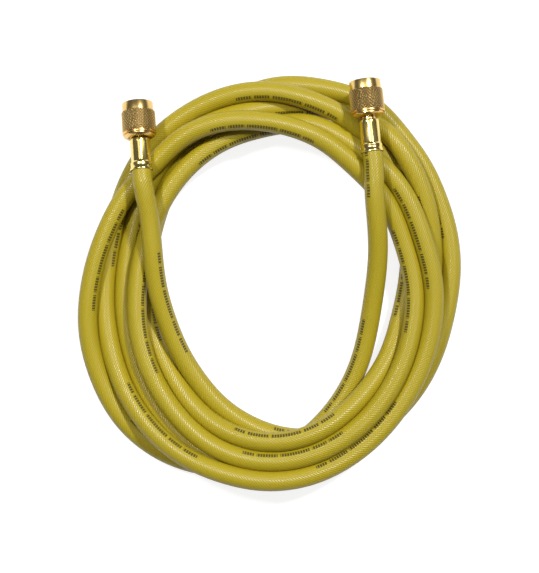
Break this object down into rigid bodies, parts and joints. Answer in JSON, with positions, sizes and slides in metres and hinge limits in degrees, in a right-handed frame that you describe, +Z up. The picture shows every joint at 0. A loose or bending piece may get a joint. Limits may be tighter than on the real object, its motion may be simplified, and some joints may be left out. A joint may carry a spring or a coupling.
{
  "type": "charging hose",
  "caption": "Refrigerant charging hose, rolled into a loose flat coil, with a crimped brass swivel coupler on each end.",
  "frame": {"origin": "on the ground under the middle of the coil", "axes": "+Z up, out of the coil's plane; +Y towards the couplers' open ends; +X to the right, seen from above with the couplers at the far side"},
  "size_m": [0.1936, 0.2104, 0.0347],
  "materials": {
    "yellow_hose": "satin",
    "polished_brass": "polished",
    "turned_brass": "turned",
    "black_rubber": "matte"
  },
  "bodies": {
    "hose": {"hose_coil": "yellow_hose", "hose_left_end": "yellow_hose", "hose_right_end": "yellow_hose", "left_ferrule": "polished_brass", "left_stem": "turned_brass", "left_gasket": "black_rubber", "right_ferrule": "polished_brass", "right_stem": "turned_brass", "right_gasket": "black_rubber", "right_depressor": "turned_brass"},
    "left_nut_body": {"left_nut": "turned_brass"},
    "right_nut_body": {"right_nut": "turned_brass"}
  },
  "joints": [
    {"name": "left_nut_swivel", "type": "hinge", "parent": "hose", "child": "left_nut_body", "pos_m": [-0.0634, 0.0552, 0.0276], "axis": [-0.0787, 0.9785, -0.1908], "continuous": true},
    {"name": "right_nut_swivel", "type": "hinge", "parent": "hose", "child": "right_nut_body", "pos_m": [0.0515, 0.0644, 0.028], "axis": [-0.1007, 0.9911, -0.0872], "continuous": true}
  ]
}
